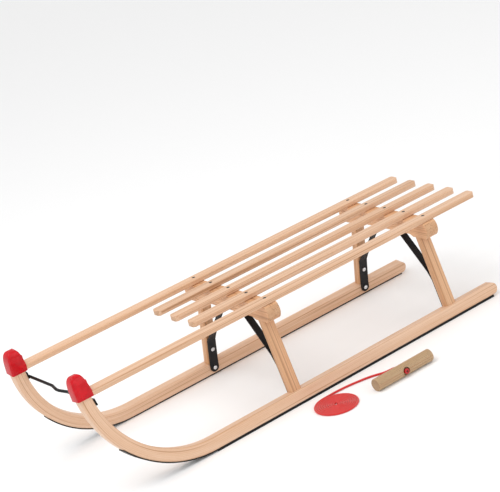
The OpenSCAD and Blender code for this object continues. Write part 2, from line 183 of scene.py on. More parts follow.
# %% Lay the line
rope_mm = 4.6
rope_thick = rope_mm * MM
handle_x = -130 * MM
handle_z = 13 * MM
free_stretch = [
    (-130, 268.3, 13), (-130, 257, 13), (-130, 250, 13), (-130, 243, 12.8),
    (-129, 236, 11.5), (-126, 229, 8.5), (-121, 222, 5.2), (-115, 216, 3.1), (-107, 210, 2.4),
    (-98, 205, 2.3), (-88, 201, 2.3), (-78, 198, 2.3), (-66, 195, 2.3), (-54, 192.2, 2.3),
    (-42, 190, 2.3), (-30, 188.4, 2.3), (-18, 187.4, 2.3), (-8, 187, 2.3), (2, 187, 2.3),
]
coil_centre = (20, 232)
coil_start = 44.7
coil_end = 3.6
turn_points = 24
turns = (coil_start - coil_end) / rope_mm
coil = []
for step in range(int(turns * turn_points) + 1):
    turn = step / turn_points
    angle = math.tau * turn - math.pi / 2
    radius = coil_start - rope_mm * turn
    x = coil_centre[0] + radius * math.cos(angle)
    y = coil_centre[1] + radius * math.sin(angle)
    coil.append((x, y, rope_mm / 2))
rope_points = np.array(free_stretch + coil) * MM


def smooth_line(points, spacing):
    """A Catmull-Rom curve through the points, sampled at even spacing."""
    padded = np.vstack([2 * points[0] - points[1], points, 2 * points[-1] - points[-2]])
    fine = []
    for a, b, c, d in zip(padded, padded[1:], padded[2:], padded[3:]):
        for t in np.linspace(0, 1, 12, endpoint=False):
            fine.append(0.5 * (2 * b + (c - a) * t + (2 * a - 5 * b + 4 * c - d) * t**2
                               + (3 * b - a - 3 * c + d) * t**3))
    fine = np.array(fine + [points[-1]])
    along = np.concatenate([[0], np.cumsum(np.linalg.norm(np.diff(fine, axis=0), axis=1))])
    even = np.linspace(0, along[-1], round(along[-1] / spacing) + 1)
    line = np.stack([np.interp(even, along, fine[:, k]) for k in range(3)], axis=1)
    return line, along[-1]


rope_line, rope_length = smooth_line(rope_points, 0.75 * MM)
print("rope length in metres:", round(rope_length, 3), "from", len(rope_points), "points")

# %% [markdown]
# ## The braid
#
# A braided rope is a ring of strands, half of them turning left and half right. Where one lies
# on top it makes a small bump, and the bumps form a diamond pattern. The tube is therefore built
# ring by ring along the line with a radius that rises and falls in that pattern, so the braid is
# real relief. Each ring follows the last one with the least twist, which keeps the pattern
# straight through the bends. A UV map holds the angle and the length for the material.

# %% Sweep the braided tube
bumps_round = 8
bump_length = 3.2 * MM
braid_depth = 0.17 * MM


def braided_tube(name, line, thick, sides=24):
    """A closed tube round a line, with a braid's diamond bumps and a UV map (angle, length)."""
    tangents = np.gradient(line, axis=0)
    tangents /= np.linalg.norm(tangents, axis=1)[:, None]
    across = Vector(tangents[0]).orthogonal().normalized()
    spacing = np.linalg.norm(line[1] - line[0])
    verts = []
    for i, (point, tangent) in enumerate(zip(line, tangents)):
        ahead = Vector(tangent)
        across = (across - ahead * across.dot(ahead)).normalized()
        up = ahead.cross(across)
        for k in range(sides):
            angle = math.tau * k / sides
            left = math.cos(bumps_round / 2 * angle + math.pi * i * spacing / bump_length)
            right = math.cos(bumps_round / 2 * angle - math.pi * i * spacing / bump_length)
            radius = thick / 2 - braid_depth * (1 - abs(left * right) ** 0.5)
            verts.append(Vector(point) + radius * (math.cos(angle) * across + math.sin(angle) * up))
    faces = []
    uvs = []
    for i in range(len(line) - 1):
        for k in range(sides):
            m = (k + 1) % sides
            faces.append((i * sides + k, i * sides + m, (i + 1) * sides + m, (i + 1) * sides + k))
            for kk, ii in ((k, i), (k + 1, i), (k + 1, i + 1), (k, i + 1)):
                uvs.append((kk / sides, ii * spacing / bump_length))
    faces.append(tuple(reversed(range(sides))))
    uvs += [(0.5, 0)] * sides
    faces.append(tuple((len(line) - 1) * sides + k for k in range(sides)))
    uvs += [(0.5, 0)] * sides
    mesh = bpy.data.meshes.new(name)
    mesh.from_pydata([tuple(v) for v in verts], [], faces)
    layer = mesh.uv_layers.new(name="braid")
    layer.data.foreach_set("uv", np.array(uvs).ravel())
    tube = bpy.data.objects.new(name, mesh)
    scene.collection.objects.link(tube)
    smooth(tube, 60)
    return tube


rope = braided_tube("braided_rope", rope_line, rope_thick)
print("rope faces:", len(rope.data.polygons))

# %% [markdown]
# ## The stopper knot
#
# A knot in a recess of the handle stops the rope from pulling through. It was sealed with heat,
# so it is a smooth lump with one loop of rope on top and a dark blob of melted end in its middle.
# Two rings of different tilt are joined, remeshed into one skin, and roughened a little.

# %% Model the knot
knot_y = 273.6 * MM
bpy.ops.object.select_all(action="DESELECT")
bpy.ops.mesh.primitive_torus_add(
    major_radius=3.45 * MM, minor_radius=2.35 * MM, major_segments=40, minor_segments=18,
    location=(handle_x, knot_y + 1.2 * MM, handle_z), rotation=(math.radians(98), 0.1, 0))
knot_ring = bpy.context.object
bpy.ops.mesh.primitive_torus_add(
    major_radius=2.9 * MM, minor_radius=2.4 * MM, major_segments=40, minor_segments=18,
    location=(handle_x, knot_y - 2.2 * MM, handle_z), rotation=(math.radians(72), 0.35, 0))
knot_back = bpy.context.object
bpy.ops.mesh.primitive_uv_sphere_add(
    segments=24, ring_count=16, radius=2.7 * MM, location=(handle_x, knot_y - 1.4 * MM, handle_z))
knot_core = bpy.context.object
knot = join([knot_ring, knot_back, knot_core], "stopper_knot")
apply_place(knot)
apply_modifier(knot, "REMESH", mode="VOXEL", voxel_size=0.22 * MM)
apply_modifier(knot, "SMOOTH", factor=0.5, iterations=6)
edit(knot, "VERT")
bpy.ops.mesh.select_all(action="SELECT")
bpy.ops.transform.vertex_random(offset=0.09 * MM, uniform=0.0, normal=1.0, seed=7)
bpy.ops.mesh.vertices_smooth(factor=0.5, repeat=2)
leave_edit()
smooth(knot, 80)
print("knot faces:", len(knot.data.polygons))

# %% Model the melted end
bpy.ops.object.select_all(action="DESELECT")
bpy.ops.mesh.primitive_ico_sphere_add(
    subdivisions=4, radius=1.75 * MM, location=(handle_x, knot_y + 1.5 * MM, handle_z))
melted_end = bpy.context.object
melted_end.name = "melted_rope_end"
melted_end.scale = (1.25, 0.85, 0.75)
melted_end.rotation_euler = (0, math.radians(35), 0)
apply_place(melted_end)
edit(melted_end, "VERT")
bpy.ops.mesh.select_all(action="SELECT")
bpy.ops.transform.vertex_random(offset=0.32 * MM, uniform=0.0, normal=1.0, seed=3)
bpy.ops.mesh.vertices_smooth(factor=0.6, repeat=3)
leave_edit()
smooth(melted_end, 80)
print("melted end faces:", len(melted_end.data.polygons))

for part in (rope, knot, melted_end):
    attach(part, "pull_cord")
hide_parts("pull_rope", "rope_coil")
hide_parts("rope_knot")
print("rope declared as", round(rope_length, 2), "m")

# %% [markdown]
# ## Clean copies of the wooden parts
#
# A part from the frame is a bag of loose triangles. It stays as it is, and a copy is worked on:
# its corners are merged, flat areas become single faces, and a bevel takes the sharpness off
# every edge, as a sander does. A weighted normal then keeps the wide faces flat in the light.

# %% Helper for clean copies
def clean_copy(node, name, rounding, segments=2, angle=20):
    """A merged copy of a part with rounded edges, riding where the part rides, in its place."""
    part = frame["nodes"][node]
    piece = duplicate(part, name)
    piece.parent = None
    for key in list(piece.keys()):
        if key.startswith("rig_"):
            del piece[key]
    piece.data.materials.clear()
    edit(piece)
    bpy.ops.mesh.select_all(action="SELECT")
    bpy.ops.mesh.remove_doubles(threshold=0.01 * MM)
    bpy.ops.mesh.dissolve_limited(angle_limit=math.radians(0.6))
    leave_edit()
    if rounding:
        apply_modifier(piece, "BEVEL", width=rounding, segments=segments, limit_method="ANGLE",
                       angle_limit=math.radians(angle), use_clamp_overlap=True)
    smooth(piece, 50)
    apply_modifier(piece, "WEIGHTED_NORMAL", keep_sharp=True)
    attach(piece, part["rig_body"])
    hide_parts(node)
    return piece


# %% [markdown]
# ## Grain that follows the wood
#
# Wood is cut or bent along its fibres, so the pattern has to run along each piece: down the legs,
# across in the crossbeams, and round the bend in the runners. Each copy carries an attribute with
# three lengths in metres: along the fibres, across them, and up through the board. A second
# attribute holds the tone of that board, and a third marks the faces where the fibres are cut.

# %% Write the grain on straight pieces
shuffle = random.Random(11)


def store(piece, name, kind, domain, field, values):
    """Writes one attribute on a piece's mesh."""
    layer = piece.data.attributes.new(name, kind, domain)
    layer.data.foreach_set(field, np.asarray(values, dtype=np.float32).ravel())


def write_grain(piece, coords, cut_faces, tone):
    """Stores the grain's coordinates, moved by a random amount for each board, and its tone."""
    shift = np.array([shuffle.uniform(-5, 5) for _ in range(3)])
    store(piece, "grain", "FLOAT_VECTOR", "POINT", "vector", coords + shift)
    store(piece, "tone", "FLOAT", "POINT", "value", np.full(len(coords), tone))
    store(piece, "cut_end", "FLOAT", "FACE", "value", cut_faces)


def straight_grain(piece, along, tone=1.0):
    """Grain along one direction, with the annual rings standing in the other two."""
    along = Vector(along).normalized()
    across = along.orthogonal().normalized()
    up = along.cross(across)
    co = np.array([v.co for v in piece.data.vertices])
    axes = np.array([along, across, up])
    cuts = [abs(face.normal.dot(along)) > 0.75 for face in piece.data.polygons]
    write_grain(piece, co @ axes.T, cuts, tone)


slat_names = ["left_outer_slat", "left_inner_slat", "centre_slat", "right_inner_slat",
              "right_outer_slat"]
wood = []
for node in slat_names:
    slat = clean_copy(node, node + "_wood", 1.0 * MM, segments=3)
    straight_grain(slat, (1, 0, 0), shuffle.uniform(0.97, 1.06))
    wood.append(slat)
leg_lean = math.radians(14)
for node in ("rear_left_leg", "rear_right_leg", "front_left_leg", "front_right_leg"):
    inward = -1 if "left" in node else 1
    leg = clean_copy(node, node + "_wood", 0.5 * MM, angle=35)
    # A low tone range for the legs adds painted shade for their place under the seat.
    straight_grain(leg, (0, inward * math.sin(leg_lean), math.cos(leg_lean)),
                   shuffle.uniform(0.88, 0.95))
    wood.append(leg)
for node in ("rear_crossbeam", "front_crossbeam"):
    beam = clean_copy(node, node + "_wood", 1.2 * MM, segments=3, angle=35)
    straight_grain(beam, (0, 1, 0), shuffle.uniform(0.93, 0.98))
    wood.append(beam)
print("straight boards:", len(wood))

# %% [markdown]
# ## The bent runners
#
# A runner is one long bar whose front end is steamed and bent up into a horn. In its own leaning
# frame the straight part has its grain along X, and past the bend's start the length goes on as
# the angle times the bend's middle radius. That rule isn't linear, so the wide side faces are
# first cut by planes through the bend's axis; between two cuts the error is too small to see.

# %% Cut and mark the runners
runner_lean = math.radians(7)
bend_x = 261.6 * MM
bend_z = 242 * MM
bend_middle = 227 * MM
lean_drop = 1.4 * MM
half_track = 150 * MM
bend_step = 4
tail_from = -450 * MM
horn_end_from = 240 * MM


def runner_place(co, side):
    """A point's place in the runner's own leaning frame."""
    y = side * co[1] - half_track
    z = co[2] - lean_drop
    lateral = y * math.cos(runner_lean) + z * math.sin(runner_lean)
    height = -y * math.sin(runner_lean) + z * math.cos(runner_lean)
    return co[0], lateral, height


def bent_grain(co, side):
    """Along, across and up, following the bend."""
    x, lateral, height = runner_place(co, side)
    if x <= bend_x:
        return x, lateral, height - (bend_z - bend_middle)
    angle = math.atan2(x - bend_x, bend_z - height)
    reach = math.hypot(x - bend_x, bend_z - height)
    return bend_x + angle * bend_middle, lateral, bend_middle - reach


for node, side in (("left_runner", 1), ("right_runner", -1)):
    runner = clean_copy(node, node + "_wood", 1.0 * MM, segments=3)
    edit(runner)
    lift = Vector((0, -side * math.sin(runner_lean), math.cos(runner_lean)))
    centre = Vector((bend_x, side * half_track, lean_drop)) + bend_z * lift
    for degrees in range(0, 92, bend_step):
        turn = math.radians(degrees)
        normal = Vector((math.cos(turn), 0, 0)) + math.sin(turn) * lift
        bpy.ops.mesh.select_all(action="SELECT")
        bpy.ops.mesh.bisect(plane_co=centre, plane_no=normal)
    leave_edit()
    spots = np.array([bent_grain(v.co, side) for v in runner.data.vertices])
    cuts = [face.center.x < tail_from and abs(face.normal.x) > 0.75 or
            face.center.z > horn_end_from and face.normal.z > 0.75
            for face in runner.data.polygons]
    write_grain(runner, spots, cuts, shuffle.uniform(0.98, 1.03))
    wood.append(runner)
    print(node, "faces:", len(runner.data.polygons))

# %% [markdown]
# ## The handle
#
# The handle is a turned stick with a hole through its middle and a wider recess for the knot.
# The rims get a small rounding so that they catch the light.

# %% Clean the handle
handle = clean_copy("pull_handle", "handle_wood", 0.35 * MM, angle=35)
straight_grain(handle, (1, 0, 0), 0.9)
print("handle faces:", len(handle.data.polygons))

# %% [markdown]
# ## A node group for wood
#
# All boards share one figure: long soft bands, annual rings, fine fibres, a few darker streaks,
# and the short brown flecks that beech is known by. A shader node group holds it, with inputs for
# the two colours and the strength of the flecks. It puts out a colour, a roughness and a height,
# and the shader itself stays in the material. The steamed runners are the palest wood. The legs
# with their crossbeams are painted darker and more orange, as painted shade under the seat.

# %% Node helpers
def new_group(name, inputs, outputs):
    """A shader node group with named inputs (kind and default) and outputs."""
    group = bpy.data.node_groups.new(name, "ShaderNodeTree")
    for title, (kind, default) in inputs.items():
        socket = group.interface.new_socket(name=title, in_out="INPUT", socket_type=kind)
        if default is not None:
            socket.default_value = default
    for title, kind in outputs.items():
        group.interface.new_socket(name=title, in_out="OUTPUT", socket_type=kind)
    return group, group.nodes.new("NodeGroupInput"), group.nodes.new("NodeGroupOutput")


def add(tree, kind, **settings):
    """A node with its properties set by name and its sockets by values; a socket links."""
    node = tree.nodes.new(kind)
    sockets = settings.pop("sockets", {})
    for name, value in settings.items():
        setattr(node, name, value)
    for name, value in sockets.items():
        if isinstance(value, bpy.types.NodeSocket):
            tree.links.new(value, node.inputs[name])
        else:
            node.inputs[name].default_value = value
    return node


def maths(tree, operation, first, second=0.0, third=None):
    """One Math node; returns its output."""
    values = {0: first, 1: second}
    if third is not None:
        values[2] = third
    return add(tree, "ShaderNodeMath", operation=operation, sockets=values).outputs[0]


def stretched_noise(tree, vector, scale, detail=3.0, roughness=0.5, distortion=0.0):
    """Noise whose cells are stretched by three scales; returns the factor."""
    mapping = add(tree, "ShaderNodeMapping", sockets={"Vector": vector, "Scale": scale})
    noise = add(tree, "ShaderNodeTexNoise", sockets={
        "Vector": mapping.outputs[0], "Scale": 1.0, "Detail": detail, "Roughness": roughness,
        "Distortion": distortion})
    return noise.outputs["Fac"]


def spread(tree, value, low, high, to_low=0.0, to_high=1.0):
    """Maps a range of a value onto another range, held at both ends."""
    return add(tree, "ShaderNodeMapRange", sockets={
        0: value, 1: low, 2: high, 3: to_low, 4: to_high}).outputs[0]


def blend_colours(tree, factor, first, second, mode="MIX"):
    """A colour mix; returns its colour output."""
    node = tree.nodes.new("ShaderNodeMix")
    node.data_type = "RGBA"
    node.blend_type = mode
    for socket, value in ((node.inputs[0], factor), (node.inputs[6], first),
                          (node.inputs[7], second)):
        if isinstance(value, bpy.types.NodeSocket):
            tree.links.new(value, socket)
        else:
            socket.default_value = value
    return node.outputs[2]


# %% Build the wood figure
figure, given, result = new_group(
    "wood figure",
    {"Grain": ("NodeSocketVector", None), "Tone": ("NodeSocketFloat", 1.0),
     "Cut end": ("NodeSocketFloat", 0.0), "Pale": ("NodeSocketColor", (0.8, 0.5, 0.3, 1)),
     "Dark": ("NodeSocketColor", (0.5, 0.3, 0.15, 1)), "Flecks": ("NodeSocketFloat", 0.3)},
    {"Color": "NodeSocketColor", "Roughness": "NodeSocketFloat", "Height": "NodeSocketFloat"})
grain_in = given.outputs["Grain"]
bands = stretched_noise(figure, grain_in, (2.2, 70, 70), detail=4, distortion=0.3)
wander = stretched_noise(figure, grain_in, (3, 25, 25), detail=2)
fibres = stretched_noise(figure, grain_in, (22, 1100, 1100), detail=3, roughness=0.65)
split = add(figure, "ShaderNodeSeparateXYZ", sockets={0: grain_in})
ring_wave = maths(figure, "MULTIPLY_ADD", split.outputs[2], 1900.0,
                  maths(figure, "MULTIPLY", wander, 26.0))
rings = maths(figure, "MULTIPLY_ADD", maths(figure, "SINE", ring_wave), 0.5, 0.5)
fleck_noise = stretched_noise(figure, grain_in, (330, 2300, 2300), detail=1, roughness=0.4)
flecks = spread(figure, fleck_noise, 0.60, 0.68)
amount = maths(figure, "MULTIPLY_ADD", spread(figure, bands, 0.32, 0.7), 0.55,
               maths(figure, "MULTIPLY", rings, 0.22))
amount = maths(figure, "MULTIPLY_ADD", spread(figure, fibres, 0.3, 0.7), 0.28, amount)
streaks = stretched_noise(figure, grain_in, (1.8, 330, 330), detail=2, roughness=0.45)
dark_streaks = spread(figure, streaks, 0.57, 0.66, 0.0, 0.75)
colour = blend_colours(figure, amount, given.outputs["Pale"], given.outputs["Dark"])
fleck_mask = maths(figure, "MULTIPLY", flecks, given.outputs["Flecks"])
colour = blend_colours(figure, fleck_mask, colour, (0.16, 0.075, 0.03, 1))
colour = blend_colours(figure, dark_streaks, colour, (0.40, 0.19, 0.08, 1))
shade = maths(figure, "MULTIPLY_ADD", given.outputs["Cut end"], -0.16, given.outputs["Tone"])
toned = add(figure, "ShaderNodeVectorMath", operation="SCALE",
            sockets={0: colour, "Scale": shade})
figure.links.new(toned.outputs[0], result.inputs["Color"])
figure.links.new(spread(figure, fibres, 0.2, 0.8, 0.40, 0.56), result.inputs["Roughness"])
relief = maths(figure, "MULTIPLY_ADD", fleck_mask, -0.8, fibres)
figure.links.new(relief, result.inputs["Height"])
print("wood figure nodes:", len(figure.nodes))

# %% Make the wood materials
def new_material(name):
    """An empty node material; returns it with its tree and its Principled shader."""
    material = bpy.data.materials.new(name)
    material.use_nodes = True
    tree = material.node_tree
    return material, tree, tree.nodes["Principled BSDF"]


def wood_material(name, pale, dark, flecks, depth):
    """Lacquered beech in two colours, with its grain read from the piece's attributes."""
    material, tree, shader = new_material(name)
    grain = add(tree, "ShaderNodeAttribute", attribute_name="grain")
    tone = add(tree, "ShaderNodeAttribute", attribute_name="tone")
    cut_end = add(tree, "ShaderNodeAttribute", attribute_name="cut_end")
    wood_look = add(tree, "ShaderNodeGroup", node_tree=figure, sockets={
        "Grain": grain.outputs["Vector"], "Tone": tone.outputs["Fac"],
        "Cut end": cut_end.outputs["Fac"], "Pale": pale, "Dark": dark, "Flecks": flecks})
    bump = add(tree, "ShaderNodeBump", sockets={
        "Height": wood_look.outputs["Height"], "Strength": 0.35, "Distance": depth})
    tree.links.new(wood_look.outputs["Color"], shader.inputs["Base Color"])
    tree.links.new(wood_look.outputs["Roughness"], shader.inputs["Roughness"])
    tree.links.new(bump.outputs[0], shader.inputs["Normal"])
    shader.inputs["Coat Weight"].default_value = 0.12
    shader.inputs["Coat Roughness"].default_value = 0.35
    return material


slat_beech = wood_material("lacquered beech", (0.745, 0.505, 0.345, 1),
                           (0.575, 0.32, 0.17, 1), 0.18, 0.15 * MM)
bent_beech = wood_material("steamed beech", (0.80, 0.575, 0.42, 1), (0.62, 0.36, 0.205, 1), 0.15,
                           0.15 * MM)
# Legs and crossbeams: beech painted darker and more orange, as painted shade under the seat.
beech_in_painted_shade = wood_material("oiled beech", (0.785, 0.48, 0.275, 1), (0.61, 0.30, 0.135, 1), 0.2,
                          0.15 * MM)
raw_beech = wood_material("raw beech", (0.60, 0.42, 0.24, 1), (0.42, 0.26, 0.13, 1), 0.75,
                          0.25 * MM)


def finish_piece(piece, material):
    """Gives a piece its only material."""
    piece.data.materials.clear()
    piece.data.materials.append(material)


# These boards take the beech with painted shade.
boards_in_painted_shade = ("leg", "crossbeam")
for board in wood:
    if any(word in board.name for word in boards_in_painted_shade):
        finish_piece(board, beech_in_painted_shade)
    elif "runner" in board.name:
        finish_piece(board, bent_beech)
    else:
        finish_piece(board, slat_beech)
finish_piece(handle, raw_beech)
print("boards painted:", len(wood) + 1)

# %% [markdown]
# ## Black and bright steel
#
# The braces, the front bar and the strips under the runners are painted black; the screws are
# plated, and those in the seat are made nearly black as painted shade for their recesses. A second
# node group makes the look that worked metal shares: a fine unevenness from the paint or plating,
# and small rubbed spots. Each material gives it its own scale and colours.

# %% Build the metal group
metal, given, result = new_group(
    "worked metal",
    {"Vector": ("NodeSocketVector", None), "Base": ("NodeSocketColor", (0.1, 0.1, 0.1, 1)),
     "Rubbed": ("NodeSocketColor", (0.3, 0.3, 0.3, 1)), "Fineness": ("NodeSocketFloat", 900.0),
     "Low": ("NodeSocketFloat", 0.35), "High": ("NodeSocketFloat", 0.55)},
    {"Color": "NodeSocketColor", "Roughness": "NodeSocketFloat", "Height": "NodeSocketFloat"})
grit = add(metal, "ShaderNodeTexNoise", sockets={
    "Vector": given.outputs["Vector"], "Scale": given.outputs["Fineness"], "Detail": 3.0})
patches = add(metal, "ShaderNodeTexNoise", sockets={
    "Vector": given.outputs["Vector"], "Scale": 55.0, "Detail": 5.0, "Roughness": 0.65})
rubbed = spread(metal, patches.outputs["Fac"], 0.56, 0.74, 0.0, 0.6)
metal_colour = blend_colours(metal, rubbed, given.outputs["Base"], given.outputs["Rubbed"])
evenness = add(metal, "ShaderNodeMapRange", sockets={
    0: patches.outputs["Fac"], 1: 0.3, 2: 0.7, 3: given.outputs["Low"],
    4: given.outputs["High"]})
metal.links.new(metal_colour, result.inputs["Color"])
metal.links.new(evenness.outputs[0], result.inputs["Roughness"])
metal.links.new(grit.outputs["Fac"], result.inputs["Height"])


def metal_material(name, base, rubbed_to, fineness, low, high, metallic, depth, stretch=(1, 1, 1)):
    """A metal finish from the shared group."""
    material, tree, shader = new_material(name)
    place = add(tree, "ShaderNodeTexCoord")
    mapping = add(tree, "ShaderNodeMapping", sockets={
        "Vector": place.outputs["Object"], "Scale": stretch})
    look = add(tree, "ShaderNodeGroup", node_tree=metal, sockets={
        "Vector": mapping.outputs[0], "Base": base, "Rubbed": rubbed_to, "Fineness": fineness,
        "Low": low, "High": high})
    bump = add(tree, "ShaderNodeBump", sockets={
        "Height": look.outputs["Height"], "Strength": 0.3, "Distance": depth})
    tree.links.new(look.outputs["Color"], shader.inputs["Base Color"])
    tree.links.new(look.outputs["Roughness"], shader.inputs["Roughness"])
    tree.links.new(bump.outputs[0], shader.inputs["Normal"])
    shader.inputs["Metallic"].default_value = metallic
    shader.inputs["Specular IOR Level"].default_value = 0.2
    return material


black_paint = metal_material(
    "black stoved paint", (0.007, 0.007, 0.008, 1), (0.02, 0.02, 0.022, 1), 1400.0, 0.36, 0.52,
    0.0, 0.06 * MM)
slide_steel = metal_material(
    "black runner strip", (0.016, 0.016, 0.017, 1), (0.10, 0.095, 0.09, 1), 700.0, 0.3, 0.55,
    0.4, 0.05 * MM, stretch=(0.06, 1, 1))
zinc = metal_material(
    "bright zinc plate", (0.80, 0.81, 0.83, 1), (0.55, 0.55, 0.56, 1), 1800.0, 0.2, 0.38, 1.0,
    0.02 * MM)
# Seat screws: nearly black, painted shade standing in for the shadow in their recesses.
seat_screw_painted_shade = metal_material(
    "blackened screw steel", (0.035, 0.032, 0.03, 1), (0.12, 0.10, 0.085, 1), 1800.0, 0.3, 0.5,
    0.7, 0.02 * MM)
print("metal finishes made:", 4)

# %% [markdown]
# ## The steel parts
#
# The flat steel was punched and bent, so its edges are only slightly eased. The same clean copy
# as for the wood does it, with a much smaller bevel.

# %% Clean the steel parts
braces = ["rear_left_brace", "rear_right_brace", "front_left_brace", "front_right_brace"]
for node in braces + ["front_bar"]:
    strip = clean_copy(node, node + "_steel", 0.35 * MM, angle=35)
    finish_piece(strip, black_paint)
for node in ("left_runner_steel", "right_runner_steel"):
    strip = clean_copy(node, node + "_strip", 0.25 * MM, angle=35)
    finish_piece(strip, slide_steel)
print("steel parts:", len(braces) + 3)

# %% [markdown]
# ## Screws
#
# Two kinds of screw hold the sled: countersunk ones in the seat, and round-headed ones in the
# steel. Each is turned from a circle by extruding and scaling it step by step, and a cutter made
# of two crossed blades takes out the cross for the screwdriver. One screw of each kind is made,
# and it is copied to every place where the frame has a screw, each turned by its own amount.

# %% Turn one screw of each kind
def turned_piece(name, steps, sides=28):
    """A solid of revolution about Z from (radius, height) steps, closed at both ends."""
    radius, height = steps[0]
    bpy.ops.object.select_all(action="DESELECT")
    bpy.ops.mesh.primitive_circle_add(vertices=sides, radius=radius, fill_type="NGON",
                                      location=(0, 0, height))
    piece = bpy.context.object
    piece.name = name
    apply_place(piece)
    bpy.ops.object.mode_set(mode="EDIT")
    bpy.ops.mesh.select_all(action="SELECT")
    for new_radius, new_height in steps[1:]:
        rise = new_height - height
        bpy.ops.mesh.extrude_region_move(TRANSFORM_OT_translate={"value": (0, 0, rise)})
        ratio = new_radius / radius
        bpy.ops.transform.resize(value=(ratio, ratio, 1), center_override=(0, 0, new_height))
        radius, height = new_radius, new_height
    bpy.ops.mesh.select_all(action="SELECT")
    bpy.ops.mesh.normals_make_consistent(inside=False)
    leave_edit()
    return piece


def cross_cutter(top, depth, reach):
    """Two crossed, tapering blades that point down from a height."""
    blades = []
    for turn in (0, math.pi / 2):
        bpy.ops.object.select_all(action="DESELECT")
        bpy.ops.mesh.primitive_cube_add(size=1, location=(0, 0, top), rotation=(0, 0, turn))
        blade = bpy.context.object
        blade.scale = (2 * reach, 0.75 * MM, 2 * depth)
        apply_place(blade)
        edit(blade)
        pick_faces(blade, lambda centre, normal: normal.z < -0.9)
        bpy.ops.transform.resize(value=(0.45, 0.45, 1), center_override=(0, 0, top - depth))
        leave_edit()
        blades.append(blade)
    apply_modifier(blades[0], "BOOLEAN", operation="UNION", object=blades[1], solver="EXACT")
    bpy.data.objects.remove(blades[1])
    return blades[0]


def cut_cross(screw, top, depth, reach):
    """Cuts the driver's cross into a screw head."""
    cutter = cross_cutter(top, depth, reach)
    apply_modifier(screw, "BOOLEAN", operation="DIFFERENCE", object=cutter, solver="EXACT")
    bpy.data.objects.remove(cutter)
    smooth(screw, 40)


sunk_screw = turned_piece("sunk_screw", [
    (1.9 * MM, -14 * MM), (1.9 * MM, -1.9 * MM), (3.68 * MM, -0.12 * MM), (3.5 * MM, 0.04 * MM)])
cut_cross(sunk_screw, 0.04 * MM, 1.5 * MM, 1.9 * MM)
dome = [(4.5, 0), (4.55, 0.3), (4.35, 1.1), (3.7, 1.9), (2.6, 2.45), (1.2, 2.68)]
round_screw = turned_piece("round_screw", [
    (1.9 * MM, -12 * MM), (1.9 * MM, 0)] + [(r * MM, z * MM) for r, z in dome])
cut_cross(round_screw, 2.7 * MM, 1.6 * MM, 2.2 * MM)
print("screw faces:", len(sunk_screw.data.polygons), len(round_screw.data.polygons))

# %% Find the places of the screws and copy
def screw_places(node):
    """Head and direction of each screw of a part: the head is the wider end of each loose piece."""
    probe = duplicate(frame["nodes"][node], "probe")
    probe.parent = None
    edit(probe)
    bpy.ops.mesh.select_all(action="SELECT")
    bpy.ops.mesh.remove_doubles(threshold=0.01 * MM)
    bpy.ops.mesh.separate(type="LOOSE")
    leave_edit()
    places = []
    for part in list(bpy.context.selected_objects):
        co = np.array([v.co for v in part.data.vertices])
        middle = (co.max(axis=0) + co.min(axis=0)) / 2
        axis = np.linalg.svd(co - co.mean(axis=0))[2][0]
        travel = (co - middle) @ axis
        radius = np.linalg.norm(co - middle - travel[:, None] * axis, axis=1)
        if travel[radius.argmax()] < 0:
            axis = -axis
            travel = -travel
        on_axis = co[radius < radius.min() + 2.5 * MM].mean(axis=0)
        base = on_axis - axis * ((on_axis - middle) @ axis)
        rim = travel[radius > radius.max() - 0.05 * MM]
        places.append((Vector(base), Vector(axis), float(travel.max()), float(rim.min())))
        bpy.data.objects.remove(part)
    return places


def place_screws(node, model, at_rim, look=zinc):
    """Copies a screw to every place of a part's screws; the copies make one piece."""
    copies = []
    for base, axis, tip, rim in screw_places(node):
        screw = duplicate(model, node + "_copy")
        head = base + axis * (rim if at_rim else tip)
        turned_to = axis.to_track_quat("Z", "Y").to_matrix().to_4x4()
        own_turn = Matrix.Rotation(shuffle.uniform(0, math.pi), 4, "Z")
        screw.matrix_world = Matrix.Translation(head) @ turned_to @ own_turn
        apply_place(screw)
        copies.append(screw)
    count = len(copies)
    screws = join(copies, node + "_heads")
    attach(screws, "sled")
    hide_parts(node)
    finish_piece(screws, look)
    print(node, "screws:", count)


# The seat's screws get the nearly black steel: painted shade.
place_screws("slat_screws", sunk_screw, False, seat_screw_painted_shade)
place_screws("horn_screws", sunk_screw, at_rim=False)
place_screws("runner_steel_screws", sunk_screw, at_rim=False)
place_screws("front_bar_screws", round_screw, at_rim=True)
place_screws("brace_screws", round_screw, at_rim=True)
bpy.data.objects.remove(sunk_screw)
bpy.data.objects.remove(round_screw)

# %% [markdown]
# ## The horn caps
#
# A moulded red cap sits on each horn. It starts as a block with rounded upright corners, and its
# top face is extruded upwards in small steps that shrink and lean like the real one, so the dome
# is one smooth run of rings. The bottom face is inset to the wall's thickness and pushed in to
# make the hollow that the horn fills. Three low grip ribs near the lower edge finish each side.

# %% Model one cap in the runner's frame
cap_low = 214.8 * MM
cap_back = 468.3 * MM
cap_front = 504.0 * MM
cap_half = 13.9 * MM
cap_corner = 4.2 * MM
cap_wall = 1.7 * MM
hollow_depth = 33.8 * MM
hollow_slide = 1.2 * MM
hollow_taper = 0.955
rib_levels = (2.6, 5.0, 7.4)
rib_middle = 489.0 * MM
cap_rings = [  # height above the base, back, front, half width; in millimetres
    (10, 468.3, 504.4, 13.9), (20, 470.5, 504.9, 13.75), (28, 472.6, 504.8, 13.4),
    (35, 474.5, 504.1, 12.6), (40, 476.3, 502.9, 11.5), (43.5, 478.0, 501.4, 10.2),
    (46, 479.8, 499.6, 8.7), (47.7, 481.8, 497.6, 7.0), (48.7, 484.0, 495.2, 5.0),
    (49, 486.2, 492.8, 3.0)]


